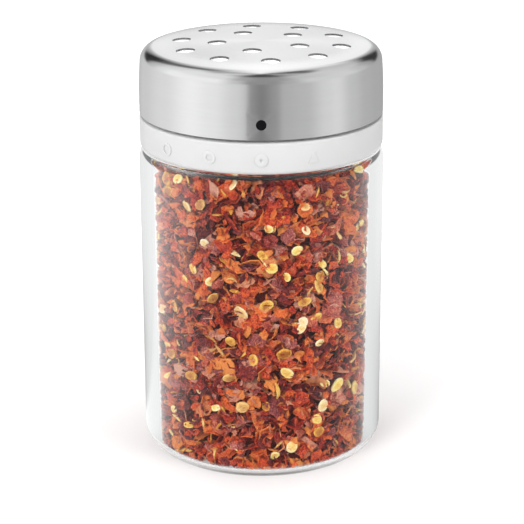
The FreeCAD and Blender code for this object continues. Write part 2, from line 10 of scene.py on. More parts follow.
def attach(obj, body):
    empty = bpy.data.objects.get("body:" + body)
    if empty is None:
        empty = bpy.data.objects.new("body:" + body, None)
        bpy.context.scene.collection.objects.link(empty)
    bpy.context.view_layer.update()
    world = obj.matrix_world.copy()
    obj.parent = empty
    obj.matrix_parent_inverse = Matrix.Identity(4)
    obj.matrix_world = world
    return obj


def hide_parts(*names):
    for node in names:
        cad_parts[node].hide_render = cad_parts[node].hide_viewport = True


# Spice shaker with a dial top. The jar stands on Z = 0 with its axis on Z, and the pointer dot faces
# -Y. Piece sizes are given in millimetres and turned to metres by MM. A turn is in degrees about Z,
# zero at the front and growing towards +X.
MM = 0.001
PITCH = 4.23
COLUMNS = 240

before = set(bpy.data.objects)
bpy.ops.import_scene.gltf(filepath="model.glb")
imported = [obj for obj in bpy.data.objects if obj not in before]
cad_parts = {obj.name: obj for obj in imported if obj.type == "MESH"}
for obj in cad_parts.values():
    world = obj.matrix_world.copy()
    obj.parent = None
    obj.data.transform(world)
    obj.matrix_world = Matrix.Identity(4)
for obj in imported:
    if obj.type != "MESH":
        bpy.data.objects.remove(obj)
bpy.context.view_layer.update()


# Shaping

def at_turn(turn, radius, height):
    """The point at a turn in degrees, a radius and a height in millimetres."""
    angle = math.radians(turn)
    return Vector((radius * math.sin(angle), -radius * math.cos(angle), height)) * MM


def bow(middle, height, radius, start, end, steps):
    """Corners along an arc, from one angle to another in degrees above level."""
    angles = [math.radians(start + (end - start) * step / steps) for step in range(steps + 1)]
    return [(middle + radius * math.cos(angle), height + radius * math.sin(angle), 0) for angle in angles]


def turned(corners, columns=COLUMNS, closed=True, segments=6):
    """A form turned round Z from corners of (radius, height, round)."""
    bm = bmesh.new()
    verts = [bm.verts.new((0.0, -radius * MM, height * MM)) for radius, height, _ in corners]
    if closed:
        bm.faces.new(verts)
        for vert, (_, _, rounding) in zip(verts, corners):
            if rounding:
                bmesh.ops.bevel(bm, geom=[vert], offset=rounding * MM, offset_type="OFFSET",
                                segments=segments, profile=0.5, material=-1, affect="VERTICES")
        bmesh.ops.delete(bm, geom=bm.faces[:], context="FACES_ONLY")
        axis = [edge for edge in bm.edges if all(abs(v.co.y) < 1e-7 for v in edge.verts)]
        bmesh.ops.delete(bm, geom=axis, context="EDGES")
    else:
        for here, there in zip(verts, verts[1:]):
            bm.edges.new((here, there))
    bmesh.ops.spin(bm, geom=bm.verts[:] + bm.edges[:], cent=(0, 0, 0), axis=(0, 0, 1),
                   angle=math.tau, steps=columns, use_merge=True, use_duplicate=False)
    bmesh.ops.remove_doubles(bm, verts=bm.verts[:], dist=2e-6)
    bmesh.ops.recalc_face_normals(bm, faces=bm.faces[:])
    return bm


def wrap(bm, verts, radius, turn, height):
    """Lay flat work on a round wall. Its X runs round the wall, its Y stands off it and Z goes up."""
    for vert in verts:
        angle = math.degrees(vert.co.x / (radius * MM)) + turn
        reach = radius + vert.co.y / MM
        vert.co = at_turn(angle, reach, vert.co.z / MM + height)


def mesh_of(name, bm):
    mesh = bpy.data.meshes.new(name)
    bm.to_mesh(mesh)
    bm.free()
    return mesh


def add_piece(name, mesh, material):
    """Put a finished mesh in the scene with its one material."""
    mesh.materials.append(material)
    piece = bpy.data.objects.new(name, mesh)
    bpy.context.scene.collection.objects.link(piece)
    return piece


def settle(name, bm, body, material, sharp=40.0):
    """Make the finished piece, shade it smooth and let it ride on its body."""
    mesh = mesh_of(name, bm)
    mesh.shade_smooth()
    mesh.set_sharp_from_angle(angle=math.radians(sharp))
    piece = add_piece(name, mesh, material)
    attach(piece, body)
    return piece


# Materials

def add_node(tree, kind, **settings):
    made = tree.nodes.new(kind)
    for name, value in settings.items():
        setattr(made, name, value)
    return made


def feed(tree, target, *sources):
    """Set or link the first inputs of a node, in order. None leaves one as it is."""
    for socket, source in zip(target.inputs, sources):
        if source is None:
            continue
        if isinstance(source, bpy.types.NodeSocket):
            tree.links.new(source, socket)
        else:
            socket.default_value = source


def result(tree, operation, *sources):
    """The outcome of one step of arithmetic."""
    made = add_node(tree, "ShaderNodeMath", operation=operation)
    feed(tree, made, *sources)
    return made.outputs[0]


def ramp_of(tree, source, stops, mode="LINEAR"):
    """A colour ramp. Each stop is (place, colour)."""
    made = add_node(tree, "ShaderNodeValToRGB")
    ramp = made.color_ramp
    ramp.interpolation = mode
    while len(ramp.elements) < len(stops):
        ramp.elements.new(0.5)
    for element, (place, colour) in zip(ramp.elements, stops):
        element.position = place
        element.color = (*colour, 1.0)
    tree.links.new(source, made.inputs["Fac"])
    return made.outputs["Color"]


def mixed_colour(tree, share, first, second):
    mix = add_node(tree, "ShaderNodeMix", data_type="RGBA")
    tree.links.new(share, mix.inputs["Factor"])
    tree.links.new(first, mix.inputs[6])
    tree.links.new(second, mix.inputs[7])
    return mix.outputs[2]


def noise_of(tree, vector, scale, detail=3.0, roughness=0.5):
    made = add_node(tree, "ShaderNodeTexNoise")
    made.inputs["Scale"].default_value = scale
    made.inputs["Detail"].default_value = detail
    made.inputs["Roughness"].default_value = roughness
    tree.links.new(vector, made.inputs["Vector"])
    return made


def new_group(name, inputs, outputs):
    """An empty effect with named inputs of (name, socket type, value) and outputs of (name, type)."""
    group = bpy.data.node_groups.new(name, "ShaderNodeTree")
    for label, kind, value in inputs:
        socket = group.interface.new_socket(label, in_out="INPUT", socket_type=kind)
        socket.default_value = value
    for label, kind in outputs:
        group.interface.new_socket(label, in_out="OUTPUT", socket_type=kind)
    return group, add_node(group, "NodeGroupInput"), add_node(group, "NodeGroupOutput")


def brushed_grain():
    """Fine lines that run round the axis, as left by brushing while the cap spins."""
    group, given, made = new_group(
        "Brushed grain",
        [("Lines", "NodeSocketFloat", 4200.0), ("Low", "NodeSocketFloat", 0.2),
         ("High", "NodeSocketFloat", 0.3), ("Top", "NodeSocketFloat", 0.0)],
        [("Roughness", "NodeSocketFloat"), ("Height", "NodeSocketFloat"), ("Tone", "NodeSocketFloat")])
    place = add_node(group, "ShaderNodeTexCoord").outputs["Object"]
    parts = add_node(group, "ShaderNodeSeparateXYZ")
    group.links.new(place, parts.inputs[0])
    x, y, z = parts.outputs
    radius = result(group, "SQRT", result(group, "ADD", result(group, "MULTIPLY", x, x),
                                          result(group, "MULTIPLY", y, y)))
    angle = result(group, "ARCTAN2", x, y)
    round_way = add_node(group, "ShaderNodeCombineXYZ")
    feed(group, round_way, result(group, "MULTIPLY", radius, given.outputs["Lines"]),
         result(group, "MULTIPLY", z, given.outputs["Lines"]), result(group, "MULTIPLY", angle, 2.5))
    lines = noise_of(group, round_way.outputs[0], 1.0, 2.0, 0.6)
    wide_way = add_node(group, "ShaderNodeCombineXYZ")
    feed(group, wide_way, result(group, "MULTIPLY", radius, 420.0),
         result(group, "MULTIPLY", z, 420.0), result(group, "MULTIPLY", angle, 1.1))
    bands = noise_of(group, wide_way.outputs[0], 1.0, 2.0, 0.5)
    mixed = result(group, "ADD", result(group, "MULTIPLY", lines.outputs["Fac"], 0.65),
                   result(group, "MULTIPLY", bands.outputs["Fac"], 0.35))
    rough = add_node(group, "ShaderNodeMapRange")
    feed(group, rough, mixed, 0.3, 0.7, given.outputs["Low"], given.outputs["High"])
    on_top = add_node(group, "ShaderNodeMapRange", interpolation_type="SMOOTHSTEP")
    feed(group, on_top, radius, 0.018, 0.0245, given.outputs["Top"], 0.0)
    feed(group, made, result(group, "ADD", rough.outputs[0], on_top.outputs[0]), lines.outputs["Fac"], mixed)
    return group


def moulded_skin():
    """The fine orange peel and the faint uneven gloss of moulded plastic, rubber and plain metal."""
    group, given, made = new_group(
        "Moulded skin",
        [("Grain", "NodeSocketFloat", 1800.0), ("Low", "NodeSocketFloat", 0.3),
         ("High", "NodeSocketFloat", 0.4)],
        [("Roughness", "NodeSocketFloat"), ("Height", "NodeSocketFloat"), ("Tone", "NodeSocketFloat")])
    place = add_node(group, "ShaderNodeTexCoord").outputs["Object"]
    fine = add_node(group, "ShaderNodeTexNoise")
    feed(group, fine, place)
    group.links.new(given.outputs["Grain"], fine.inputs["Scale"])
    fine.inputs["Detail"].default_value = 2.0
    broad = noise_of(group, place, 90.0, 2.0, 0.5)
    mixed = result(group, "ADD", result(group, "MULTIPLY", fine.outputs["Fac"], 0.4),
                   result(group, "MULTIPLY", broad.outputs["Fac"], 0.6))
    rough = add_node(group, "ShaderNodeMapRange")
    feed(group, rough, mixed, 0.35, 0.65, given.outputs["Low"], given.outputs["High"])
    feed(group, made, rough.outputs[0], fine.outputs["Fac"], broad.outputs["Fac"])
    return group


def dried_skin():
    """Mottling and wrinkles of dried chili, put over the tint that each flake carries. The wrinkle noise also
    moves the tint: darker in the creases and lighter on the ridges, painted shade and highlight over a
    streaky fibre pattern.
    """
    group, given, made = new_group(
        "Dried skin",
        [("Mottle", "NodeSocketFloat", 900.0), ("Spread", "NodeSocketFloat", 0.25),
         ("Creases", "NodeSocketFloat", 1100.0), ("Fibres", "NodeSocketFloat", 0.3)],
        [("Tint", "NodeSocketFloat"), ("Height", "NodeSocketFloat"), ("Shade", "NodeSocketFloat")])
    place = add_node(group, "ShaderNodeTexCoord").outputs["Object"]
    mottle = add_node(group, "ShaderNodeTexNoise")
    feed(group, mottle, place)
    group.links.new(given.outputs["Mottle"], mottle.inputs["Scale"])
    mottle.inputs["Detail"].default_value = 4.0
    mottle.inputs["Roughness"].default_value = 0.6
    mottle.inputs["Distortion"].default_value = 0.8
    folds = add_node(group, "ShaderNodeTexNoise")
    feed(group, folds, place)
    group.links.new(given.outputs["Creases"], folds.inputs["Scale"])
    folds.inputs["Detail"].default_value = 2.0
    folds.inputs["Distortion"].default_value = 1.6
    own = add_node(group, "ShaderNodeAttribute", attribute_name="tint")
    shift = result(group, "MULTIPLY", result(group, "SUBTRACT", mottle.outputs["Fac"], 0.5),
                   given.outputs["Spread"])
    # Painted shade and highlight: the same noise that bumps the wrinkles darkens the tint where it is low, in
    # the creases, and lightens it on the ridges.
    fibres_and_crease_shade = result(group, "MULTIPLY", result(group, "SUBTRACT", folds.outputs["Fac"], 0.5),
                    given.outputs["Fibres"])
    tint = result(group, "ADD", result(group, "ADD", own.outputs["Fac"], shift), fibres_and_crease_shade)
    height = result(group, "MULTIPLY_ADD", folds.outputs["Fac"], 0.6, mottle.outputs["Fac"])
    feed(group, made, tint, height, mottle.outputs["Fac"])
    return group


def new_material(name, **constants):
    """A material with one Principled shader, its plain values set on its own sockets."""
    material = bpy.data.materials.new(name)
    material.use_nodes = True
    tree = material.node_tree
    shader = tree.nodes["Principled BSDF"]
    for label, value in constants.items():
        shader.inputs[label.replace("_", " ")].default_value = value
    return material, tree, shader


def place_effect(tree, group, **values):
    effect = add_node(tree, "ShaderNodeGroup", node_tree=group)
    for label, value in values.items():
        effect.inputs[label].default_value = value
    return effect


def add_bump(tree, shader, height, distance, strength=1.0):
    bump = add_node(tree, "ShaderNodeBump")
    bump.inputs["Strength"].default_value = strength
    bump.inputs["Distance"].default_value = distance
    tree.links.new(height, bump.inputs["Height"])
    tree.links.new(bump.outputs["Normal"], shader.inputs["Normal"])


def skinned(name, group, stops, distance, strength, grain, **constants):
    """Colour, gloss and grain of a moulded or drawn piece."""
    material, tree, shader = new_material(name, **constants)
    effect = place_effect(tree, group, **grain)
    tree.links.new(ramp_of(tree, effect.outputs["Tone"], stops), shader.inputs["Base Color"])
    tree.links.new(effect.outputs["Roughness"], shader.inputs["Roughness"])
    add_bump(tree, shader, effect.outputs["Height"], distance, strength)
    return material


def brushed_steel():
    """Steel brushed while it spins: reflections smear along the axis and stay narrow round it."""
    steel = skinned("Brushed stainless steel", brushed_group,
                    [(0.3, (0.745, 0.745, 0.75)), (0.7, (0.775, 0.775, 0.78))],
                    distance=0.00001, strength=0.12,
                    grain={"Lines": 5200.0, "Low": 0.14, "High": 0.19, "Top": 0.14},
                    Metallic=1.0, Anisotropic=0.7, Anisotropic_Rotation=0.25)
    tree = steel.node_tree
    round_axis = add_node(tree, "ShaderNodeTangent", direction_type="RADIAL", axis="Z")
    tree.links.new(round_axis.outputs[0], tree.nodes["Principled BSDF"].inputs["Tangent"])
    return steel


def clear_glass():
    material, tree, shader = new_material("Clear glass", IOR=1.5, Transmission_Weight=1.0,
                                          Specular_Tint=(0.9, 0.9, 0.9, 1.0))
    place = add_node(tree, "ShaderNodeTexCoord").outputs["Object"]
    clouds = noise_of(tree, place, 24.0, 1.0)
    tone = ramp_of(tree, clouds.outputs["Fac"], [(0.3, (0.985, 0.995, 0.992)), (0.7, (0.995, 1.0, 0.998))])
    tree.links.new(tone, shader.inputs["Base Color"])
    rough = add_node(tree, "ShaderNodeMapRange")
    feed(tree, rough, clouds.outputs["Fac"], 0.3, 0.7, 0.0, 0.003)
    tree.links.new(rough.outputs[0], shader.inputs["Roughness"])
    add_bump(tree, shader, clouds.outputs["Fac"], 0.0002, 0.5)
    through = add_node(tree, "ShaderNodeBsdfTransparent")
    through.inputs["Color"].default_value = (0.96, 0.97, 0.97, 1.0)
    rays = add_node(tree, "ShaderNodeLightPath")
    surface = shader
    for kind in ("Is Shadow Ray", "Is Reflection Ray"):
        mix = add_node(tree, "ShaderNodeMixShader")
        feed(tree, mix, rays.outputs[kind], surface.outputs[0], through.outputs[0])
        surface = mix
    tree.links.new(surface.outputs[0], tree.nodes["Material Output"].inputs["Surface"])
    return material


def dried(name, stops, sheen_stops, rough, distance, mottle, spread, creases, fibres_and_crease_shade, **constants):
    """Dried chili. Each form's own share of painted sheen turns it from its own colour stops towards pale,
    pinkish stops that paint the sheen of light on the skins.
    """
    material, tree, shader = new_material(name, **constants)
    effect = place_effect(tree, dried_group, Mottle=mottle, Spread=spread, Creases=creases, Fibres=fibres_and_crease_shade)
    # Painted sheen: each form's random share blends its colour towards the pale, pinkish second row of stops.
    sheen_share = add_node(tree, "ShaderNodeMapRange", interpolation_type="SMOOTHSTEP")
    feed(tree, sheen_share, add_node(tree, "ShaderNodeAttribute", attribute_name="sheen_share").outputs["Fac"], 0.45, 0.95)
    own_colour, sheened_colour = (ramp_of(tree, effect.outputs["Tint"], row) for row in (stops, sheen_stops))
    tree.links.new(mixed_colour(tree, sheen_share.outputs[0], own_colour, sheened_colour), shader.inputs["Base Color"])
    gloss = add_node(tree, "ShaderNodeMapRange")
    feed(tree, gloss, effect.outputs["Shade"], 0.3, 0.7, rough - 0.1, rough + 0.12)
    tree.links.new(gloss.outputs[0], shader.inputs["Roughness"])
    add_bump(tree, shader, effect.outputs["Height"], distance, 0.9)
    return material


brushed_group = brushed_grain()
moulded_group = moulded_skin()
dried_group = dried_skin()

glass = clear_glass()
steel = brushed_steel()
# One white plastic in two copies. This one is painted lighter than the plastic, to cancel the shade down in
# the cap's holes, where the plate and liner show.
white_painted_lighter = skinned("White plastic painted lighter", moulded_group,
                [(0.3, (0.93, 0.93, 0.93)), (0.7, (0.95, 0.95, 0.95))],
                distance=0.00003, strength=0.2,
                grain={"Grain": 1600.0, "Low": 0.26, "High": 0.36})
# This copy is painted darker than the plastic, as painted shade, so the brightly lit collar, its thread and
# its marks stay below white.
white_painted_darker = skinned("White plastic painted darker", moulded_group,
                      [(0.3, (0.59, 0.59, 0.59)), (0.7, (0.62, 0.62, 0.62))],
                      distance=0.00003, strength=0.2,
                      grain={"Grain": 1600.0, "Low": 0.30, "High": 0.38})
silicone = skinned("Silicone rubber", moulded_group,
                   [(0.3, (0.62, 0.63, 0.63)), (0.7, (0.68, 0.69, 0.69))],
                   distance=0.00004, strength=0.3,
                   grain={"Grain": 1200.0, "Low": 0.5, "High": 0.62})
black = skinned("Black plastic", moulded_group,
                [(0.3, (0.004, 0.004, 0.005)), (0.7, (0.007, 0.007, 0.008))],
                distance=0.00003, strength=0.3,
                grain={"Grain": 2200.0, "Low": 0.5, "High": 0.6}, Specular_IOR_Level=0.06)
plain_steel = skinned("Plain steel", moulded_group,
                      [(0.3, (0.55, 0.55, 0.56)), (0.7, (0.66, 0.66, 0.67))],
                      distance=0.00002, strength=0.2,
                      grain={"Grain": 1500.0, "Low": 0.2, "High": 0.32}, Metallic=1.0)
# The same steel painted far darker for the hole walls and the cap's lower rim: painted shade, for the dark
# crescent at the far side of each hole.
steel_painted_dark = skinned("Steel edge painted dark", moulded_group,
                    [(0.3, (0.22, 0.22, 0.225)), (0.7, (0.28, 0.28, 0.285))],
                    distance=0.00003, strength=0.3,
                    grain={"Grain": 2400.0, "Low": 0.45, "High": 0.6}, Metallic=1.0)
flesh = dried("Dried chili flesh",
              [(0.0, (0.105, 0.008, 0.006)), (0.18, (0.27, 0.016, 0.012)), (0.38, (0.58, 0.036, 0.018)),
               (0.58, (0.90, 0.105, 0.028)), (0.78, (0.98, 0.190, 0.042)), (1.0, (0.99, 0.320, 0.075))],
              # Second row: pale, pinkish copies of the colours, the painted sheen of light on the skins.
              [(0.0, (0.055, 0.012, 0.018)), (0.30, (0.20, 0.030, 0.036)), (0.60, (0.50, 0.105, 0.092)),
               (0.85, (0.74, 0.250, 0.190)), (1.0, (0.86, 0.420, 0.300))],
              rough=0.36, distance=0.0009, mottle=1000.0, spread=0.6, creases=2600.0, fibres_and_crease_shade=1.7,
              Specular_IOR_Level=0.4)
seed_skin = dried("Chili seed",
                  [(0.0, (0.42, 0.13, 0.02)), (0.3, (0.80, 0.39, 0.06)), (0.6, (0.95, 0.66, 0.17)),
                   (1.0, (0.99, 0.88, 0.48))],
                  # Second row: paler copies of the colours, the painted sheen on the seeds.
                  [(0.0, (0.45, 0.17, 0.05)), (0.5, (0.88, 0.55, 0.20)), (1.0, (0.98, 0.86, 0.60))],
                  rough=0.38, distance=0.0003, mottle=800.0, spread=0.8, creases=2000.0, fibres_and_crease_shade=0.7,
                  Specular_IOR_Level=0.3)
dust = [(0.0, (0.15, 0.016, 0.010)), (1.0, (0.40, 0.050, 0.026))]
packed = dried("Packed chili dust", dust, dust, rough=0.7, distance=0.0008, mottle=500.0, spread=1.2,
               creases=700.0, fibres_and_crease_shade=0.3, Specular_IOR_Level=0.1)


# Glass jar

JAR_RADIUS, JAR_BORE, NECK_RADIUS, NECK_BORE = 28.8, 25.4, 23.2, 20.2
NECK_LOW, NECK_HIGH, RIM_TOP = 77.2, 86.6, 88.2
HEEL, FLOOR, SHOULDER, LEDGE = 4.5, 1.8, 74.5, 72.7
FLOOR_ROUND, LEDGE_ROUND, RIM_ROUND = 1.6, 1.4, 0.8
THREAD_START, THREAD_LAPS, THREAD_REACH = 79.0, 1.6, 1.1
THREAD_CREST, THREAD_FLANK, THREAD_FADE = 0.35, 0.75, 12.0


def neck_thread(turn, height):
    """How far the neck's thread stands out at a turn and a height, in millimetres."""
    reach = 0.0
    for lap in (0, 1):
        along = turn / 360.0 + lap
        middle = THREAD_START + PITCH * along
        fade = min(1.0, along * THREAD_FADE, (THREAD_LAPS - along) * THREAD_FADE)
        if fade > 0.0:
            away = abs(height - middle)
            flank = min(1.0, max(0.0, (away - THREAD_CREST) / THREAD_FLANK))
            reach = max(reach, THREAD_REACH * fade * (1.0 - flank ** 1.3))
    return reach


def jar_outline():
    """Corners of the glass, from the middle of the base up the outside and down the bore."""
    lean = math.degrees(math.asin(0.46))
    return [(0, 0.5, 0), (7.3, 0.444, 0), (14.6, 0.278, 0), (21.9, 0, 0), (JAR_RADIUS, 0, HEEL),
            *bow(22.4, SHOULDER - 3.268, 6.4, 0.0, lean, 8),
            *bow(27.55, SHOULDER - 0.6, 0.6, lean, 90.0, 5),
            (NECK_RADIUS, SHOULDER, 0.8),
            *[(NECK_RADIUS, NECK_LOW + step * (NECK_HIGH - NECK_LOW) / 47, 0) for step in range(48)],
            (NECK_RADIUS, RIM_TOP, RIM_ROUND), (NECK_BORE, RIM_TOP, RIM_ROUND), (NECK_BORE, LEDGE, 1.2),
            (JAR_BORE, LEDGE, LEDGE_ROUND), (JAR_BORE, FLOOR, FLOOR_ROUND), (0, FLOOR, 0)]


def make_jar():
    bm = turned(jar_outline(), segments=10)
    for vert in bm.verts:
        radius, height = vert.co.xy.length / MM, vert.co.z / MM
        if abs(radius - NECK_RADIUS) < 0.01 and NECK_LOW < height < NECK_HIGH:
            turn = math.degrees(math.atan2(vert.co.x, -vert.co.y)) % 360.0
            vert.co.xy *= (radius + neck_thread(turn, height)) / radius
    jar = settle("glass_body", bm, "jar", glass, 60.0)
    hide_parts("glass_jar")


# Pepper flakes

WALL_GAP = 0.15
HEAP_TOP, HEAP_SIDE = 76.6, 75.1
SEEDS, SLIVERS, NECK_FLAKES = 175, 180, 130
CORNER_RINGS = ((25.0, 2.9, 110), (24.4, 2.2, 110), (23.0, 2.3, 80))
dice = random.Random(41)


def form_arrays(bm, shade):
    """Corners, triangles and shade of a small form, for setting many copies of it."""
    bmesh.ops.triangulate(bm, faces=bm.faces[:])
    bm.verts.index_update()
    corners = np.array([vert.co[:] for vert in bm.verts])
    faces = np.array([[vert.index for vert in face.verts] for face in bm.faces])
    bm.free()
    return corners, faces, np.array(shade)


def flake_form(length, width, curl, cup, crumple):
    """One dried flake: a ragged, crumpled little sheet, skin on one side and pale flesh on the other."""
    bm = bmesh.new()
    bmesh.ops.create_grid(bm, x_segments=4, y_segments=3, size=0.5)
    fold = dice.uniform(-0.4, 0.4)
    crease = dice.uniform(0.0, 0.7)
    for vert in bm.verts:
        across = 1.0 - 0.32 * abs(vert.co.x * 2.0) ** 2
        along = 1.0 - 0.22 * abs(vert.co.y * 2.0)
        x = vert.co.x * length * along + dice.gauss(0.0, crumple)
        y = vert.co.y * width * across + dice.gauss(0.0, crumple)
        lift = curl * x * x + cup * y * y + crease * abs(x - fold) + dice.gauss(0.0, crumple * 0.75)
        vert.co = Vector((x, y, lift))
    count = len(bm.verts)
    rims = [1.0 if vert.is_boundary else 0.0 for vert in bm.verts]
    bmesh.ops.solidify(bm, geom=bm.faces[:], thickness=0.14)
    bmesh.ops.recalc_face_normals(bm, faces=bm.faces[:])
    # The rims are lifted 0.10 towards the pale end: partly the pale cut edge, partly painted glow of light
    # through the thin edges. The flesh side is lifted 0.16 as its own paler colour.
    shade = [0.10 * rims[index % count] + (0.16 if index >= count else 0.0)
             for index in range(len(bm.verts))]
    return form_arrays(bm, shade)


def seed_form(length, width, thickness, dent):
    """One seed: a flattened bean with a dented middle, a paler rim and a small beak."""
    bm = bmesh.new()
    bmesh.ops.create_uvsphere(bm, u_segments=12, v_segments=6, radius=0.5)
    shade = []
    for vert in bm.verts:
        away = vert.co.xy.length * 2.0
        shade.append(0.45 * (away ** 2 - 0.6))
        vert.co.z *= thickness * (1.0 - dent * (1.0 - away ** 2))
        beak = 0.2 * width * max(0.0, vert.co.y * 2.0 - 0.3)
        vert.co.x = vert.co.x * length + beak
        vert.co.y *= width
    return form_arrays(bm, shade)


def sliver_form(length, width, bend):
    """One pale sliver of rib: a narrow strip rolled lengthwise and pointed at its ends."""
    bm = bmesh.new()
    bmesh.ops.create_grid(bm, x_segments=6, y_segments=1, size=0.5)
    for vert in bm.verts:
        angle = vert.co.x * bend
        radius = length / bend
        side = vert.co.y * width * (1.0 - 0.75 * abs(vert.co.x * 2.0) ** 1.5)
        vert.co = Vector((radius * math.sin(angle), side, radius * (math.cos(angle) - 1.0)))
    bmesh.ops.solidify(bm, geom=bm.faces[:], thickness=0.25)
    bmesh.ops.recalc_face_normals(bm, faces=bm.faces[:])
    return form_arrays(bm, [0.0] * len(bm.verts))


def scatter(name, forms, places, material):
    """Set a copy of a form at each place (form, matrix, tint) and hold it inside the jar."""
    corners, faces, tints, sheen_shares, count = [], [], [], [], 0
    for form, matrix, tint in places:
        points, triangles, shade = forms[form]
        matrix = np.array(matrix)
        points = inside_jar(points @ matrix[:3, :3].T + matrix[:3, 3])
        corners.append(points)
        faces.append(triangles + count)
        tints.append(shade + tint)
        # Each form draws a random share of painted sheen.
        sheen_shares.append(np.full(len(points), dice.random()))
        count += len(points)
    mesh = bpy.data.meshes.new(name)
    mesh.from_pydata((np.concatenate(corners) * MM).tolist(), [], np.concatenate(faces).tolist())
    for label, values in (("tint", tints), ("sheen_share", sheen_shares)):
        mesh.attributes.new(label, "FLOAT", "POINT").data.foreach_set("value", np.concatenate(values))
    mesh.shade_smooth()
    mesh.set_sharp_from_angle(angle=math.radians(38.0))
    piece = add_piece(name, mesh, material)
    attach(piece, "jar")


def set_down(turn, radius, height, upright, tilt, size):
    """Where a form lies: its face outwards or, for upright 0, upwards, then tipped and spun."""
    outward = Matrix.Rotation(math.radians(turn), 4, "Z") @ Matrix.Rotation(math.radians(upright), 4, "X")
    lean = Euler((math.radians(dice.gauss(0, tilt)), math.radians(dice.gauss(0, tilt)), 0.0))
    flip = math.pi * dice.randrange(2)
    spin = Euler((flip, 0.0, dice.uniform(0.0, math.tau)), "ZYX")
    place = Matrix.Translation(at_turn(turn, radius, height) / MM)
    return (place @ outward @ lean.to_matrix().to_4x4() @ spin.to_matrix().to_4x4()
            @ Matrix.Scale(size, 4))


def jar_limit(heights):
    """How far out a flake may reach at a height: the jar's inner wall with its rounded corners."""
    low = np.clip(FLOOR + FLOOR_ROUND - heights, 0.0, FLOOR_ROUND - WALL_GAP)
    high = np.clip(heights - (LEDGE - LEDGE_ROUND), 0.0, LEDGE_ROUND - WALL_GAP)
    wall = JAR_BORE - FLOOR_ROUND + np.sqrt(FLOOR_ROUND ** 2 - low ** 2)
    wall = np.minimum(wall, JAR_BORE - LEDGE_ROUND + np.sqrt(LEDGE_ROUND ** 2 - high ** 2))
    return np.where(heights > LEDGE - 0.1, NECK_BORE, wall) - WALL_GAP


def inside_jar(points):
    """Shift a flake up or down and inwards until all of it lies inside the glass."""
    low, high = points[:, 2].min(), points[:, 2].max()
    if low < FLOOR + WALL_GAP:
        points = points + (0, 0, FLOOR + WALL_GAP - low)
    middle = np.hypot(points[:, 0], points[:, 1]).mean()
    if high > LEDGE - WALL_GAP and middle > NECK_BORE - 1.0:
        points = points - (0, 0, high - LEDGE + WALL_GAP)
    for _ in range(3):
        radii = np.hypot(points[:, 0], points[:, 1])
        over = radii - jar_limit(points[:, 2])
        worst = np.argmax(over)
        if over[worst] > 0:
            points = points - np.array([*points[worst, :2], 0]) / radii[worst] * over[worst]
    return points


def wall_places(depth, gap, tilt, kinds, tint_of, spread):
    """Places on a jittered net over the wall of the jar, at one depth behind the glass."""
    radius = JAR_BORE - depth
    rows = round((LEDGE - FLOOR) / gap)
    columns = round(math.tau * radius / gap)
    places = []
    for row in range(rows):
        for column in range(columns):
            turn = 360.0 * (column + 0.5 * (row % 2) + dice.uniform(-0.5, 0.5)) / columns
            height = FLOOR + (LEDGE - FLOOR) * (row + 0.5 + dice.uniform(-0.5, 0.5)) / rows
            size = min(2.3, math.exp(dice.gauss(0.0, spread)))
            matrix = set_down(turn, radius - dice.uniform(0.0, 0.5), height, 90.0, tilt, size)
            places.append((dice.choice(kinds), matrix, tint_of()))
    return places


def heap_places(gap, tilt, kinds, tint_of):
    """Places over the heap that stands up into the neck."""
    places = []
    for ring in range(1, int(19.4 / gap) + 1):
        radius = ring * gap
        columns = round(math.tau * radius / gap)
        for column in range(columns):
            away = radius + dice.uniform(-0.5, 0.5) * gap
            height = HEAP_SIDE + (HEAP_TOP - HEAP_SIDE) * (1.0 - (away / 19.9) ** 2) - dice.uniform(0, 0.9)
            turn = 360.0 * (column + dice.uniform(-0.5, 0.5)) / columns
            matrix = set_down(turn, away, height - 0.5, 0.0, tilt, dice.uniform(0.6, 1.2))
            places.append((dice.choice(kinds), matrix, tint_of()))
    for _ in range(NECK_FLAKES):
        matrix = set_down(dice.uniform(0, 360), 19.6, dice.uniform(72.4, 74.6), 90.0, tilt, 0.9)
        places.append((dice.choice(kinds), matrix, tint_of()))
    return places


def floor_places(kinds):
    """Small flakes and dust that fill the corner round the jar's floor."""
    places = []
    for row, (radius, height, columns) in enumerate(CORNER_RINGS):
        for column in range(columns):
            turn = 360.0 * (column + dice.uniform(-0.5, 0.5)) / columns
            matrix = set_down(turn, radius, height + dice.uniform(-0.3, 0.3), 75.0 - 30.0 * row, 22.0,
                              dice.uniform(0.45, 0.8))
            places.append((dice.choice(kinds), matrix, flake_tint()))
    return places


def flake_tint():
    return dice.betavariate(0.95, 1.15) * 1.04 - 0.02


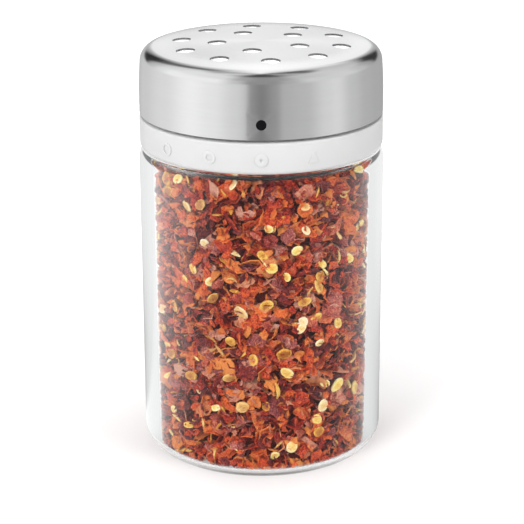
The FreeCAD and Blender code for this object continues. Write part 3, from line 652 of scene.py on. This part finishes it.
def make_flakes():
    flakes = [flake_form(2.0 + 3.6 * dice.random() ** 1.4, dice.uniform(1.3, 3.0), dice.gauss(0.0, 0.14),
                         dice.gauss(0.0, 0.16), dice.uniform(0.12, 0.22)) for _ in range(40)]
    seeds = [seed_form(dice.uniform(2.5, 3.3), dice.uniform(1.9, 2.7), dice.uniform(0.8, 1.1), 0.5)
             for _ in range(8)]
    slivers = [sliver_form(dice.uniform(2.4, 5.0), dice.uniform(0.4, 0.9), dice.uniform(0.8, 2.4))
               for _ in range(10)]
    kinds = range(len(flakes))
    layers = (("flakes_at_glass", 0.5, 2.5, 30.0, 0.45), ("flakes_behind", 1.3, 2.3, 42.0, 0.32),
              ("flakes_deep", 2.3, 2.7, 50.0, 0.25))
    for name, depth, gap, tilt, spread in layers:
        scatter(name, flakes, wall_places(depth, gap, tilt, kinds, flake_tint, spread), flesh)
    scatter("flakes_on_top", flakes, heap_places(2.3, 26.0, kinds, flake_tint), flesh)
    scatter("flakes_on_floor", flakes, floor_places(kinds), flesh)
    near = dice.sample(wall_places(0.45, 3.6, 20.0, range(8), lambda: dice.uniform(0.15, 0.9), 0.14), SEEDS)
    scatter("chili_seeds", seeds, near, seed_skin)
    near = dice.sample(wall_places(0.4, 3.2, 35.0, range(10), lambda: dice.uniform(0.1, 0.8), 0.2), SLIVERS)
    scatter("rib_slivers", slivers, near, seed_skin)
    core = turned([(0, 2.5, 0), (23.6, 2.5, 1.0), (22.3, 6.0, 0), (22.3, 71.0, 2.0), (18.6, 71.0, 0),
                   (18.6, 73.8, 0), (0, 74.9, 0)], columns=96)
    core = settle("packed_core", core, "jar", packed)
    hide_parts("spice_fill")


# Screw collar

SKIRT_LOW, SKIRT_TOP, COLLAR_TOP = 74.75, 82.1, 95.2
SKIRT_RADIUS, SKIRT_BORE, BARREL_RADIUS, BARREL_BORE = 28.55, 27.05, 26.2, 24.6
THREAD_TURN = 450.0
MARK_HEIGHT, MARK_RADIUS, MARK_RELIEF, MARK_SUNK, MARK_EDGE = 78.3, 1.5, 0.24, 0.15, 0.06


def make_collar():
    bm = turned([(BARREL_BORE, SKIRT_LOW, 0), (BARREL_RADIUS, SKIRT_LOW, 0), (BARREL_RADIUS, 80.6, 0),
                 (SKIRT_BORE, 80.6, 0), (SKIRT_BORE, SKIRT_LOW, 0), (SKIRT_RADIUS, SKIRT_LOW, 1.1),
                 (SKIRT_RADIUS, SKIRT_TOP, 0.5), (BARREL_RADIUS, SKIRT_TOP, 0), (BARREL_RADIUS, 93.4, 0),
                 (BARREL_RADIUS, COLLAR_TOP, 0.4), (BARREL_BORE, COLLAR_TOP, 0), (BARREL_BORE, 93.25, 0),
                 (25.0, 92.5, 0), (BARREL_BORE, 91.75, 0), (BARREL_BORE, 90.9, 0), (20.6, 90.9, 0),
                 (20.6, 89.4, 0), (BARREL_BORE, 89.4, 0)])
    collar = settle("collar_moulding", bm, "collar", white_painted_darker)
    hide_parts("screw_collar")


def make_collar_thread():
    """The ridge inside the collar, a trapezium swept along the screw line."""
    bm = bmesh.new()
    root, crest = 24.7, 23.5
    section = [(root, -0.9), (crest, -0.3), (crest, 0.3), (root, 0.9)]
    verts = [bm.verts.new(at_turn(0.0, radius, 77.1 + lift)) for radius, lift in section]
    bm.faces.new(verts)
    steps = 150
    sweep = math.radians(THREAD_TURN)
    lift = PITCH * MM * THREAD_TURN / 360.0 / steps
    bmesh.ops.spin(bm, geom=bm.faces[:], cent=(0, 0, 0), axis=(0, 0, 1), dvec=(0, 0, lift),
                   angle=sweep, steps=steps, use_duplicate=False)
    bmesh.ops.recalc_face_normals(bm, faces=bm.faces[:])
    settle("collar_thread", bm, "collar", white_painted_darker)


def raise_mark(bm, turn):
    """Give a flat mark its relief with soft edges and lay it on the collar."""
    made = bmesh.ops.extrude_face_region(bm, geom=bm.faces[:])["geom"]
    top = [thing for thing in made if isinstance(thing, bmesh.types.BMVert)]
    bmesh.ops.translate(bm, vec=(0, (MARK_RELIEF + MARK_SUNK) * MM, 0), verts=top)
    crown = [edge for edge in bm.edges if all(v in top for v in edge.verts)
             and len(edge.link_faces) == 2 and edge.calc_face_angle(0.0) > 0.5]
    bmesh.ops.bevel(bm, geom=crown, offset=MARK_EDGE * MM, offset_type="OFFSET", segments=3,
                    profile=0.5, material=-1, affect="EDGES")
    bmesh.ops.recalc_face_normals(bm, faces=bm.faces[:])
    wrap(bm, bm.verts, SKIRT_RADIUS - MARK_SUNK, turn, MARK_HEIGHT)


def round_mark(turn, hole):
    """A disc with a hole in it, for one setting of the dial."""
    bm = bmesh.new()
    bmesh.ops.create_circle(bm, cap_ends=True, segments=48, radius=MARK_RADIUS * MM)
    bmesh.ops.inset_region(bm, faces=bm.faces[:], thickness=(MARK_RADIUS - hole) * MM, depth=0,
                           use_boundary=True)
    inner = max(bm.faces, key=lambda face: len(face.verts))
    bmesh.ops.delete(bm, geom=[inner], context="FACES")
    bmesh.ops.rotate(bm, cent=(0, 0, 0), matrix=Matrix.Rotation(math.radians(90), 3, "X"), verts=bm.verts)
    raise_mark(bm, turn)
    return bm


def triangle_mark(turn):
    bm = bmesh.new()
    corners = [(-1.35, 0, -1.35), (1.35, 0, -1.35), (0, 0, 1.5)]
    face = bm.faces.new([bm.verts.new(Vector(corner) * MM) for corner in corners])
    bmesh.ops.bevel(bm, geom=face.verts[:], offset=0.25 * MM, offset_type="OFFSET", segments=4,
                    profile=0.5, material=-1, affect="VERTICES")
    raise_mark(bm, turn)
    return bm


def make_marks():
    for name, bm in (("mark_closed", round_mark(0.0, 0.3)), ("mark_small_holes", round_mark(-24.0, 0.7)),
                     ("mark_large_holes", round_mark(-48.0, 1.0)), ("mark_triangle", triangle_mark(24.0))):
        settle(name, bm, "collar", white_painted_darker, 60.0)


# Dial

CAP_TOP, CAP_LOW, CAP_RADIUS, CAP_WALL, DOME = 99.0, 82.75, 28.5, 0.5, 328.0
TAPER, TAPER_LOW, TAPER_TALL = 0.32, 88.0, 6.6
OUTER_RING, INNER_RING, HOLE, HOLE_RIM = 18.901, 10.2065, 2.151, 0.3
DISC_EDGE, RING_EDGE, DOME_EDGE = 5.0, 14.5, 23.0
DOT_HEIGHT, DOT_RADIUS, DOT_WINDOW = 86.25, 1.15, 1.165
OUTER_TURNS = [6.6 + 36.0 * step for step in range(10)]
INNER_TURNS = [-11.4 + 72.0 * step for step in range(5)]


def dome_height(radius):
    return CAP_TOP - DOME + math.sqrt(DOME ** 2 - radius ** 2)


def pierced_ring(bm, inner, outer, ring, turns):
    """A flat ring with round holes in it. Each hole gets a narrow rim of its own."""
    def circle(radius, centre, count):
        made = bmesh.ops.create_circle(bm, segments=count, radius=radius * MM)["verts"]
        bmesh.ops.translate(bm, vec=centre, verts=made)
        return list({edge for vert in made for edge in vert.link_edges})
    centres = [at_turn(turn, ring, 0.0) for turn in turns]
    bounds = [circle(radius, (0, 0, 0), COLUMNS) for radius in (inner, outer)]
    rims = [circle(HOLE + HOLE_RIM, centre, 48) for centre in centres]
    bmesh.ops.triangle_fill(bm, use_beauty=True, use_dissolve=False, normal=(0, 0, 1),
                            edges=[edge for loop in bounds + rims for edge in loop])
    for rim, centre in zip(rims, centres):
        made = bmesh.ops.extrude_edge_only(bm, edges=rim)["geom"]
        verts = [thing for thing in made if isinstance(thing, bmesh.types.BMVert)]
        shrink = HOLE / (HOLE + HOLE_RIM)
        bmesh.ops.scale(bm, vec=(shrink, shrink, 1), space=Matrix.Translation(-centre), verts=verts)


def cut_dot_window(bm):
    """Open a round hole in the cap's wall, with a net of faces that leads up to it."""
    def turn_of(place):
        return math.degrees(math.atan2(place.x, -place.y))
    patch = [face for face in bm.faces if abs(turn_of(face.calc_center_median())) < 6.0
             and abs(face.calc_center_median().z / MM - DOT_HEIGHT) < 2.98]
    bmesh.ops.delete(bm, geom=patch, context="FACES")
    border = [edge for edge in bm.edges if edge.is_boundary
              and abs(edge.verts[0].co.z / MM - DOT_HEIGHT) < 3.0]
    made = bmesh.ops.create_circle(bm, segments=32, radius=DOT_WINDOW * MM)["verts"]
    bmesh.ops.rotate(bm, cent=(0, 0, 0), matrix=Matrix.Rotation(math.radians(90), 3, "X"), verts=made)
    wrap(bm, made, CAP_RADIUS, 0.0, DOT_HEIGHT)
    ring = list({edge for vert in made for edge in vert.link_edges})
    bmesh.ops.bridge_loops(bm, edges=border + ring)


def cap_outline():
    """Corners from the edge of the dome round the cap's corner and down its wall."""
    wall = [93.6, 92.6, 91.6, 90.8, *[DOT_HEIGHT + 0.746 * step for step in range(4, -5, -1)], CAP_LOW]
    inwards = [TAPER * max(0.0, (height - TAPER_LOW) / TAPER_TALL) ** 1.5 for height in wall]
    return [(DOME_EDGE, dome_height(DOME_EDGE), 0), *bow(24.78, 94.65, 3.4, 85.6, -3.0, 16),
            *[(CAP_RADIUS - taper, height, 0) for taper, height in zip(inwards, wall)]]


def make_cap():
    bm = turned(cap_outline(), closed=False)
    cut_dot_window(bm)
    lifted = set(bm.verts)
    pierced_ring(bm, RING_EDGE, DOME_EDGE, OUTER_RING, OUTER_TURNS)
    pierced_ring(bm, DISC_EDGE, RING_EDGE, INNER_RING, INNER_TURNS)
    bmesh.ops.create_circle(bm, cap_ends=True, segments=COLUMNS, radius=DISC_EDGE * MM)
    bmesh.ops.poke(bm, faces=[face for face in bm.faces if len(face.verts) == COLUMNS])
    for vert in bm.verts:
        if vert not in lifted:
            vert.co.z = dome_height(vert.co.xy.length / MM) * MM
    bmesh.ops.remove_doubles(bm, verts=bm.verts[:], dist=5e-6)
    bmesh.ops.recalc_face_normals(bm, faces=bm.faces[:])
    cap = settle("cap_skin", bm, "dial", steel)
    wall = cap.modifiers.new("wall", "SOLIDIFY")
    wall.thickness, wall.offset, wall.use_even_offset = CAP_WALL * MM, -1.0, True
    # The walls and rims that Solidify makes take the steel painted dark, as painted shade.
    cap.data.materials.append(steel_painted_dark)
    wall.material_offset_rim = 1
    edges = cap.modifiers.new("edges", "BEVEL")
    edges.width, edges.segments, edges.harden_normals = 0.09 * MM, 3, True
    edges.limit_method, edges.angle_limit = "ANGLE", math.radians(50.0)
    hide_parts("cap_shell")


def make_dot():
    """Black plug with a slightly domed face, set in the cap's wall."""
    bm = bmesh.new()
    bmesh.ops.create_cone(bm, cap_ends=True, cap_tris=False, segments=48, radius1=DOT_RADIUS * MM,
                          radius2=DOT_RADIUS * MM, depth=1.7 * MM)
    crown = [edge for edge in bm.edges if all(vert.co.z > 0 for vert in edge.verts)]
    bmesh.ops.bevel(bm, geom=crown, offset=0.12 * MM, offset_type="OFFSET", segments=4, profile=0.5,
                    material=-1, affect="EDGES")
    turn = Matrix.Rotation(math.radians(90), 4, "X")
    place = Matrix.Translation((0, -27.69 * MM, DOT_HEIGHT * MM))
    bmesh.ops.transform(bm, matrix=place @ turn, verts=bm.verts)
    dot = settle("dot_plug", bm, "dial", black)
    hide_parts("pointer_dot")


def dress_cad_pieces():
    """Finishes for the solids that stay as they are."""
    for name, material in (("jar_seal", silicone), ("sifter_plate", white_painted_lighter), ("cap_liner", white_painted_lighter),
                           ("click_spring", plain_steel), ("pivot_washer", plain_steel),
                           ("pivot_screw", plain_steel)):
        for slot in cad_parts[name].material_slots:
            slot.material = material


make_jar()
make_flakes()
make_collar()
make_collar_thread()
make_marks()
make_cap()
make_dot()
dress_cad_pieces()


# Studio

# Floor glow: low near the jar as a painted shadow round its foot, higher further out.
GLOW_NEAR, GLOW_FAR, GLOW_LOW, GLOW_HIGH = 0.055, 0.13, 0.17, 0.50
FILL_LIGHT = 0.32
LAMPS = (("left_softbox", -42.0, 1100.0, 700.0, 0.5, 0.6, 12.1),
         ("right_softbox", 60.0, 1200.0, 520.0, 0.5, 0.8, 8.4),
         ("top_softbox", 180.0, 60.0, 1200.0, 0.7, 0.6, 11.5))
PHOTO_SIDE, FOCAL, AXIS_COLUMN = 524.0, 1821.0, 261.82
CAMERA_BACK, CAMERA_HEIGHT, CAMERA_DOWN, CAMERA_ROLL = 0.415, 0.18875, 0.3341, -0.004


def stage_piece(name, bm, material):
    piece = add_piece(name, mesh_of(name, bm), material)
    return piece


def seen_directly(tree):
    """One for rays that come from the camera or by way of metal or glass."""
    rays = add_node(tree, "ShaderNodeLightPath").outputs
    first = result(tree, "MAXIMUM", rays["Is Camera Ray"], rays["Is Glossy Ray"])
    return result(tree, "MAXIMUM", first, rays["Is Transmission Ray"])


def make_floor():
    material = bpy.data.materials.new("Studio floor")
    material.use_nodes = True
    tree = material.node_tree
    shader = tree.nodes["Principled BSDF"]
    shader.inputs["Roughness"].default_value = 0.9
    shader.inputs["Specular IOR Level"].default_value = 0.1
    shader.inputs["Emission Color"].default_value = (1.0, 1.0, 1.0, 1.0)
    place = add_node(tree, "ShaderNodeTexCoord").outputs["Object"]
    paper = noise_of(tree, place, 40.0, 2.0)
    tone = ramp_of(tree, paper.outputs["Fac"], [(0.3, (0.67, 0.67, 0.67)), (0.7, (0.69, 0.69, 0.69))])
    tree.links.new(tone, shader.inputs["Base Color"])
    # Painted shadow: the glow stays low within GLOW_NEAR of the axis and rises by GLOW_FAR, darkening the
    # floor round the jar's foot.
    away = add_node(tree, "ShaderNodeVectorMath", operation="LENGTH")
    tree.links.new(place, away.inputs[0])
    spread = add_node(tree, "ShaderNodeMapRange", interpolation_type="SMOOTHSTEP")
    feed(tree, spread, away.outputs["Value"], GLOW_NEAR, GLOW_FAR, GLOW_LOW, GLOW_HIGH)
    glow = result(tree, "MULTIPLY", seen_directly(tree), spread.outputs[0])
    tree.links.new(glow, shader.inputs["Emission Strength"])
    bm = bmesh.new()
    bmesh.ops.create_circle(bm, cap_ends=True, segments=96, radius=4.0)
    bmesh.ops.translate(bm, vec=(0, 0, -0.00002), verts=bm.verts)
    stage_piece("studio_floor", bm, material)


def make_world():
    world = bpy.data.worlds.new("Studio")
    bpy.context.scene.world = world
    world.use_nodes = True
    tree = world.node_tree
    background = tree.nodes["Background"]
    strength = add_node(tree, "ShaderNodeMapRange")
    feed(tree, strength, seen_directly(tree), 0.0, 1.0, FILL_LIGHT, 1.0)
    tree.links.new(strength.outputs[0], background.inputs["Strength"])
    background.inputs["Color"].default_value = (1.0, 1.0, 1.0, 1.0)


# Light of the tent as stops of (turn or rise in degrees, level), set to suit the photo's studio.
TENT_POWER = 1.3
TENT_LOW = [(-180, 0.38), (-162, 0.42), (-140, 0.55), (-100, 0.68), (-66, 0.85), (-45, 0.77), (-22, 0.62),
            (-15, 0.55), (-9, 0.26), (0, 0.20), (14, 0.30), (20, 0.42), (40, 0.46), (62, 0.62),
            (72, 0.66), (92, 0.50), (112, 0.42), (135, 0.38), (155, 0.34), (180, 0.38)]
TENT_MIDDLE = [(-180, 0.98), (-174, 0.8), (-165, 0.35), (-156, 0.02), (-141, 0.02), (-130, 0.45), (-112, 0.7),
               (-95, 0.84), (-45, 0.84), (-22, 0.5), (-10, 0.27), (12, 0.27), (26, 0.4), (50, 0.6),
               (92, 0.62), (112, 0.5), (130, 0.35), (141, 0.03), (156, 0.03), (165, 0.4), (174, 0.85),
               (180, 0.98)]
TENT_HIGH = [(-180, 0.98), (-164, 0.5), (-151, 0.1), (-138, 0.1), (-124, 0.65), (-90, 0.75), (-45, 0.7),
             (-20, 0.35), (0, 0.27), (20, 0.3), (45, 0.5), (90, 0.6), (124, 0.55), (138, 0.5), (151, 0.5),
             (164, 0.75), (180, 0.98)]
TENT_CROWN = [(-180, 0.98), (-158, 0.7), (-140, 0.34), (-110, 0.36), (-71, 0.7), (-45, 0.4), (-20, 0.03),
              (20, 0.03), (45, 0.25), (71, 0.45), (100, 0.12), (140, 0.06), (158, 0.6), (180, 0.98)]
# Glass has light of its own: one table for what it shows through, one for what it mirrors.
TENT_IN_GLASS = [(-180, 0.66), (-90, 0.68), (-52, 0.38), (-30, 0.26), (30, 0.26), (52, 0.42), (90, 0.68),
                 (180, 0.68)]
TENT_IN_RISE = [(-90, 1.0), (-6, 1.0), (2, 0.15), (90, 0.15)]
TENT_ON_GLASS = [(-180, 0.6), (-135, 0.6), (-120, 0.8), (-106, 1.8), (-74, 1.8), (-54, 0.5), (-36, 0.1),
                 (36, 0.1), (60, 0.2), (80, 0.35), (112, 0.4), (140, 0.7), (180, 0.7)]
TENT_ON_RISE = [(-90, 0.48), (-48, 0.48), (-24, 1.0), (8, 1.0), (32, 3.6), (90, 3.6)]
TENT_BANDS = [(4.0, 11.0), (28.0, 40.0), (58.0, 68.0)]
GLASS_TOP = 4.0


def tent_directions(tree):
    """Where a point of the tent lies, seen from the cap: its share of the way round and its rise."""
    place = add_node(tree, "ShaderNodeTexCoord").outputs["Object"]
    parts = add_node(tree, "ShaderNodeSeparateXYZ")
    tree.links.new(place, parts.inputs[0])
    x, y, z = parts.outputs
    turn = result(tree, "ARCTAN2", x, result(tree, "MULTIPLY", y, -1.0))
    share = result(tree, "MULTIPLY_ADD", turn, 1.0 / math.tau, 0.5)
    reach = result(tree, "SQRT", result(tree, "ADD", result(tree, "MULTIPLY", x, x),
                                        result(tree, "MULTIPLY", y, y)))
    return share, result(tree, "ARCTAN2", result(tree, "SUBTRACT", z, 0.09), reach)


def grey_stops(levels, span, top=1.0):
    return [(0.5 + angle / span, (level / top,) * 3) for angle, level in levels]


def tent_bands(tree, share, rise):
    """Four belts of light, one above another, that fade into each other."""
    belts = [ramp_of(tree, share, grey_stops(stops, 360.0), "EASE")
             for stops in (TENT_LOW, TENT_MIDDLE, TENT_HIGH, TENT_CROWN)]
    glow = belts[0]
    for upper, (start, end) in zip(belts[1:], TENT_BANDS):
        fade = add_node(tree, "ShaderNodeMapRange", interpolation_type="SMOOTHSTEP")
        feed(tree, fade, rise, math.radians(start), math.radians(end), 0.0, 1.0)
        glow = mixed_colour(tree, fade.outputs[0], glow, upper)
    return glow


def light_for_glass(tree, glow, share, rise):
    """Give rays that come by way of clear glass the tables of their own."""
    rays = add_node(tree, "ShaderNodeLightPath").outputs
    inside = result(tree, "GREATER_THAN", rays["Transmission Depth"], 0.5)
    outside = result(tree, "SUBTRACT", 1.0, inside)
    up_share = result(tree, "MULTIPLY_ADD", rise, 1.0 / math.pi, 0.5)
    for stops, rises, side in ((TENT_IN_GLASS, TENT_IN_RISE, inside),
                               (TENT_ON_GLASS, TENT_ON_RISE, outside)):
        light = add_node(tree, "ShaderNodeVectorMath", operation="SCALE")
        feed(tree, light, ramp_of(tree, share, grey_stops(stops, 360.0, GLASS_TOP), "EASE"))
        lift = ramp_of(tree, up_share, grey_stops(rises, 180.0, GLASS_TOP))
        tree.links.new(result(tree, "MULTIPLY", lift, GLASS_TOP ** 2), light.inputs["Scale"])
        by_glass = result(tree, "MULTIPLY", rays["Is Singular Ray"], side)
        glow = mixed_colour(tree, by_glass, glow, light.outputs[0])
    return glow


def make_tent():
    """The soft tent round the table. It shows only in what the metal, glass and plastic reflect."""
    material = bpy.data.materials.new("Studio tent")
    material.use_nodes = True
    tree = material.node_tree
    tree.nodes.remove(tree.nodes["Principled BSDF"])
    share, rise = tent_directions(tree)
    light = add_node(tree, "ShaderNodeEmission")
    glow = light_for_glass(tree, tent_bands(tree, share, rise), share, rise)
    tree.links.new(glow, light.inputs["Color"])
    light.inputs["Strength"].default_value = TENT_POWER
    tree.links.new(light.outputs[0], tree.nodes["Material Output"].inputs["Surface"])
    bm = turned([(30, 0.4, 0), (700, 0.4, 0), (1000, 60, 0), (1180, 260, 0), (1250, 520, 0),
                 (1200, 800, 0), (1000, 1100, 0), (600, 1330, 0), (0.0, 1400, 0)], 96, closed=False)
    tent = stage_piece("studio_tent", bm, material)
    for kind in ("camera", "diffuse", "transmission", "volume_scatter", "shadow"):
        setattr(tent, "visible_" + kind, False)


def add_lamp(name, turn, distance, height, width, tall, power):
    lamp = bpy.data.lights.new(name, "AREA")
    lamp.shape, lamp.size, lamp.size_y, lamp.energy = "RECTANGLE", width, tall, power
    light = bpy.data.objects.new(name, lamp)
    light.location = at_turn(turn, distance, height)
    aim = Vector((0, 0, 0.05)) - light.location
    light.rotation_euler = aim.to_track_quat("-Z", "Y").to_euler()
    light.visible_glossy = False
    bpy.context.scene.collection.objects.link(light)


def make_camera():
    lens = bpy.data.cameras.new("view")
    lens.sensor_width, lens.lens = 36.0, 36.0 * FOCAL / PHOTO_SIDE
    lens.clip_start, lens.clip_end = 0.01, 20.0
    camera = bpy.data.objects.new("view", lens)
    camera.location = (0.0, -CAMERA_BACK, CAMERA_HEIGHT)
    aim = Matrix.Rotation(math.pi / 2 - CAMERA_DOWN, 3, "X") @ Matrix.Rotation(CAMERA_ROLL, 3, "Z")
    camera.rotation_euler = aim.to_euler()
    lens.shift_x = (PHOTO_SIDE / 2 - AXIS_COLUMN) / PHOTO_SIDE
    bpy.context.scene.collection.objects.link(camera)
    bpy.context.scene.camera = camera


make_floor()
make_world()
make_tent()
for lamp in LAMPS:
    add_lamp(*lamp)
make_camera()
bpy.context.scene.view_settings.view_transform = "Standard"
